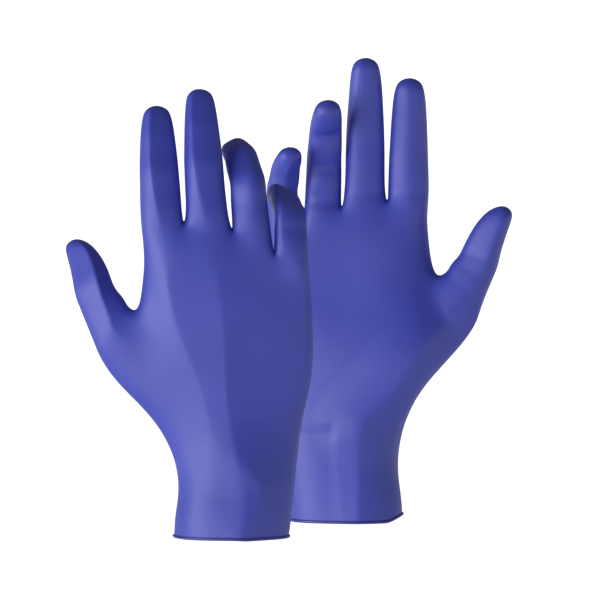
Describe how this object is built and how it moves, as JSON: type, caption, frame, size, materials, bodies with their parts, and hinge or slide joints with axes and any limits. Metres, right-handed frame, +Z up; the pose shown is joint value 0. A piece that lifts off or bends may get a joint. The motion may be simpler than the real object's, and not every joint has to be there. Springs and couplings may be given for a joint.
{
  "type": "disposable glove pair",
  "caption": "Pair of thin blue nitrile gloves in worn shape, fingers up, one back outwards and one palm outwards, each with jointed fingers, thumb and wrist.",
  "frame": {"origin": "centre of the front glove's cuff opening, at the underside of its rolled rim", "axes": "+Z up the gloves from cuff to fingertips, +X across the front glove from its thumb to its little finger, +Y from its back to its palm and on to the rear glove"},
  "size_m": [0.2381, 0.1542, 0.249],
  "materials": {
    "film": "satin",
    "film_bead": "satin"
  },
  "bodies": {
    "front_glove": {"front_bead": "film_bead", "front_cuff": "film"},
    "front_hand": {"front_hand": "film"},
    "front_thumb_base": {"front_thumb_base": "film"},
    "front_thumb_tip": {"front_thumb_tip": "film"},
    "front_index_base": {"front_index_base": "film"},
    "front_index_middle": {"front_index_middle": "film"},
    "front_index_tip": {"front_index_tip": "film"},
    "front_middle_base": {"front_middle_base": "film"},
    "front_middle_middle": {"front_middle_middle": "film"},
    "front_middle_tip": {"front_middle_tip": "film"},
    "front_ring_base": {"front_ring_base": "film"},
    "front_ring_middle": {"front_ring_middle": "film"},
    "front_ring_tip": {"front_ring_tip": "film"},
    "front_little_base": {"front_little_base": "film"},
    "front_little_middle": {"front_little_middle": "film"},
    "front_little_tip": {"front_little_tip": "film"},
    "rear_glove": {"rear_bead": "film_bead", "rear_cuff": "film"},
    "rear_hand": {"rear_hand": "film"},
    "rear_thumb_base": {"rear_thumb_base": "film"},
    "rear_thumb_tip": {"rear_thumb_tip": "film"},
    "rear_index_base": {"rear_index_base": "film"},
    "rear_index_middle": {"rear_index_middle": "film"},
    "rear_index_tip": {"rear_index_tip": "film"},
    "rear_middle_base": {"rear_middle_base": "film"},
    "rear_middle_middle": {"rear_middle_middle": "film"},
    "rear_middle_tip": {"rear_middle_tip": "film"},
    "rear_ring_base": {"rear_ring_base": "film"},
    "rear_ring_middle": {"rear_ring_middle": "film"},
    "rear_ring_tip": {"rear_ring_tip": "film"},
    "rear_little_base": {"rear_little_base": "film"},
    "rear_little_middle": {"rear_little_middle": "film"},
    "rear_little_tip": {"rear_little_tip": "film"}
  },
  "joints": [
    {"name": "front_wrist", "type": "hinge", "parent": "front_glove", "child": "front_hand", "pos_m": [0, -0.005, 0.031], "axis": [-1, 0, 0], "range_deg": [-35, 8]},
    {"name": "front_thumb_root", "type": "hinge", "parent": "front_hand", "child": "front_thumb_base", "pos_m": [-0.064, 0.0107, 0.1136], "axis": [-0.5839, 0, -0.8118], "range_deg": [-18, 27]},
    {"name": "front_thumb_tip", "type": "hinge", "parent": "front_thumb_base", "child": "front_thumb_tip", "pos_m": [-0.07219, 0.01375, 0.13075], "axis": [-0.9312, 0.077, -0.3564], "range_deg": [-20, 40]},
    {"name": "front_index_root", "type": "hinge", "parent": "front_hand", "child": "front_index_base", "pos_m": [-0.03732, 0.00551, 0.17199], "axis": [-0.999, 0, -0.0436], "range_deg": [-19, 51]},
    {"name": "front_index_middle", "type": "hinge", "parent": "front_index_base", "child": "front_index_middle", "pos_m": [-0.03819, 0.00808, 0.19184], "axis": [-0.999, 0, -0.0436], "range_deg": [-8, 72]},
    {"name": "front_index_tip", "type": "hinge", "parent": "front_index_middle", "child": "front_index_tip", "pos_m": [-0.03893, 0.01246, 0.20892], "axis": [-0.999, 0, -0.0436], "range_deg": [-5.34, 48.01]},
    {"name": "front_middle_root", "type": "hinge", "parent": "front_hand", "child": "front_middle_base", "pos_m": [-0.01297, 0.00509, 0.17198], "axis": [-0.9978, 0, -0.0663], "range_deg": [-20, 50]},
    {"name": "front_middle_middle", "type": "hinge", "parent": "front_middle_base", "child": "front_middle_middle", "pos_m": [-0.01452, 0.00917, 0.19541], "axis": [-0.9978, 0, -0.0663], "range_deg": [-10, 70]},
    {"name": "front_middle_tip", "type": "hinge", "parent": "front_middle_middle", "child": "front_middle_tip", "pos_m": [-0.01581, 0.01515, 0.21482], "axis": [-0.9978, 0, -0.0663], "range_deg": [-6.68, 46.68]},
    {"name": "front_ring_root", "type": "hinge", "parent": "front_hand", "child": "front_ring_base", "pos_m": [0.01026, 0.00442, 0.16794], "axis": [-0.9952, 0, -0.0976], "range_deg": [-18, 52]},
    {"name": "front_ring_middle", "type": "hinge", "parent": "front_ring_base", "child": "front_ring_middle", "pos_m": [0.00862, 0.00652, 0.18463], "axis": [-0.9954, 0.0266, 0.0923], "range_deg": [-40, 40]},
    {"name": "front_ring_tip", "type": "hinge", "parent": "front_ring_middle", "child": "front_ring_tip", "pos_m": [0.00481, 0.01964, 0.19747], "axis": [-0.9986, -0.0446, 0.028], "range_deg": [-26.68, 26.68]},
    {"name": "front_little_root", "type": "hinge", "parent": "front_hand", "child": "front_little_base", "pos_m": [0.03159, 0.00343, 0.15509], "axis": [-0.9992, 0, -0.0401], "range_deg": [-22, 48]},
    {"name": "front_little_middle", "type": "hinge", "parent": "front_little_base", "child": "front_little_middle", "pos_m": [0.03104, 0.00614, 0.1688], "axis": [-0.9824, 0.0468, 0.1808], "range_deg": [-48, 32]},
    {"name": "front_little_tip", "type": "hinge", "parent": "front_little_middle", "child": "front_little_tip", "pos_m": [0.02785, 0.01803, 0.17693], "axis": [-0.9911, -0.0662, 0.1154], "range_deg": [-32.01, 21.34]},
    {"name": "gloves_apart", "type": "slide", "parent": "front_glove", "child": "rear_glove", "axis": [0, 1, 0], "range_m": [0, 0.2]},
    {"name": "rear_wrist", "type": "hinge", "parent": "rear_glove", "child": "rear_hand", "pos_m": [0.0608, 0.111, 0.031], "axis": [1, 0, 0], "range_deg": [-35, 8]},
    {"name": "rear_thumb_root", "type": "hinge", "parent": "rear_hand", "child": "rear_thumb_base", "pos_m": [0.1248, 0.0953, 0.1251], "axis": [0.5839, 0, -0.8118], "range_deg": [-10, 35]},
    {"name": "rear_thumb_tip", "type": "hinge", "parent": "rear_thumb_base", "child": "rear_thumb_tip", "pos_m": [0.1332, 0.0946, 0.1424], "axis": [0.9355, 0, -0.3532], "range_deg": [0, 60]},
    {"name": "rear_index_root", "type": "hinge", "parent": "rear_hand", "child": "rear_index_base", "pos_m": [0.09451, 0.10048, 0.177], "axis": [0.9999, 0, -0.0105], "range_deg": [-13, 57]},
    {"name": "rear_index_middle", "type": "hinge", "parent": "rear_index_base", "child": "rear_index_middle", "pos_m": [0.09474, 0.09992, 0.1987], "axis": [0.9999, 0, -0.0105], "range_deg": [-4, 76]},
    {"name": "rear_index_tip", "type": "hinge", "parent": "rear_index_middle", "child": "rear_index_tip", "pos_m": [0.09494, 0.09845, 0.21738], "axis": [0.9999, 0, -0.0105], "range_deg": [-2.68, 50.68]},
    {"name": "rear_middle_root", "type": "hinge", "parent": "rear_hand", "child": "rear_middle_base", "pos_m": [0.07104, 0.1009, 0.177], "axis": [1, 0, -0.007], "range_deg": [-13, 57]},
    {"name": "rear_middle_middle", "type": "hinge", "parent": "rear_middle_base", "child": "rear_middle_middle", "pos_m": [0.07123, 0.09961, 0.20302], "axis": [1, 0, -0.007], "range_deg": [-4, 76]},
    {"name": "rear_middle_tip", "type": "hinge", "parent": "rear_middle_middle", "child": "rear_middle_tip", "pos_m": [0.07138, 0.09798, 0.22474], "axis": [1, 0, -0.007], "range_deg": [-2.68, 50.68]},
    {"name": "rear_ring_root", "type": "hinge", "parent": "rear_hand", "child": "rear_ring_base", "pos_m": [0.04866, 0.10157, 0.17299], "axis": [0.9992, 0, -0.0401], "range_deg": [-15, 55]},
    {"name": "rear_ring_middle", "type": "hinge", "parent": "rear_ring_base", "child": "rear_ring_middle", "pos_m": [0.04939, 0.10023, 0.1913], "axis": [0.9885, -0.0166, 0.1505], "range_deg": [-26, 54]},
    {"name": "rear_ring_tip", "type": "hinge", "parent": "rear_ring_middle", "child": "rear_ring_tip", "pos_m": [0.05041, 0.09069, 0.20849], "axis": [0.9885, -0.0166, 0.1505], "range_deg": [-17.34, 36.01]},
    {"name": "rear_little_root", "type": "hinge", "parent": "rear_hand", "child": "rear_little_base", "pos_m": [0.02806, 0.10256, 0.16008], "axis": [0.9982, 0, 0.0593], "range_deg": [-17, 53]},
    {"name": "rear_little_middle", "type": "hinge", "parent": "rear_little_base", "child": "rear_little_middle", "pos_m": [0.02719, 0.10097, 0.17475], "axis": [0.9594, -0.0274, 0.2807], "range_deg": [-28, 52]},
    {"name": "rear_little_tip", "type": "hinge", "parent": "rear_little_middle", "child": "rear_little_tip", "pos_m": [0.02939, 0.09322, 0.18772], "axis": [0.9875, 0.0721, 0.1403], "range_deg": [-18.68, 34.68]}
  ],
  "couplings": [
    {"joint": "front_index_tip", "follows": "front_index_middle", "ratio": 0.66667},
    {"joint": "front_middle_tip", "follows": "front_middle_middle", "ratio": 0.66667},
    {"joint": "front_ring_tip", "follows": "front_ring_middle", "ratio": 0.66667},
    {"joint": "front_little_tip", "follows": "front_little_middle", "ratio": 0.66667},
    {"joint": "rear_index_tip", "follows": "rear_index_middle", "ratio": 0.66667},
    {"joint": "rear_middle_tip", "follows": "rear_middle_middle", "ratio": 0.66667},
    {"joint": "rear_ring_tip", "follows": "rear_ring_middle", "ratio": 0.66667},
    {"joint": "rear_little_tip", "follows": "rear_little_middle", "ratio": 0.66667}
  ]
}
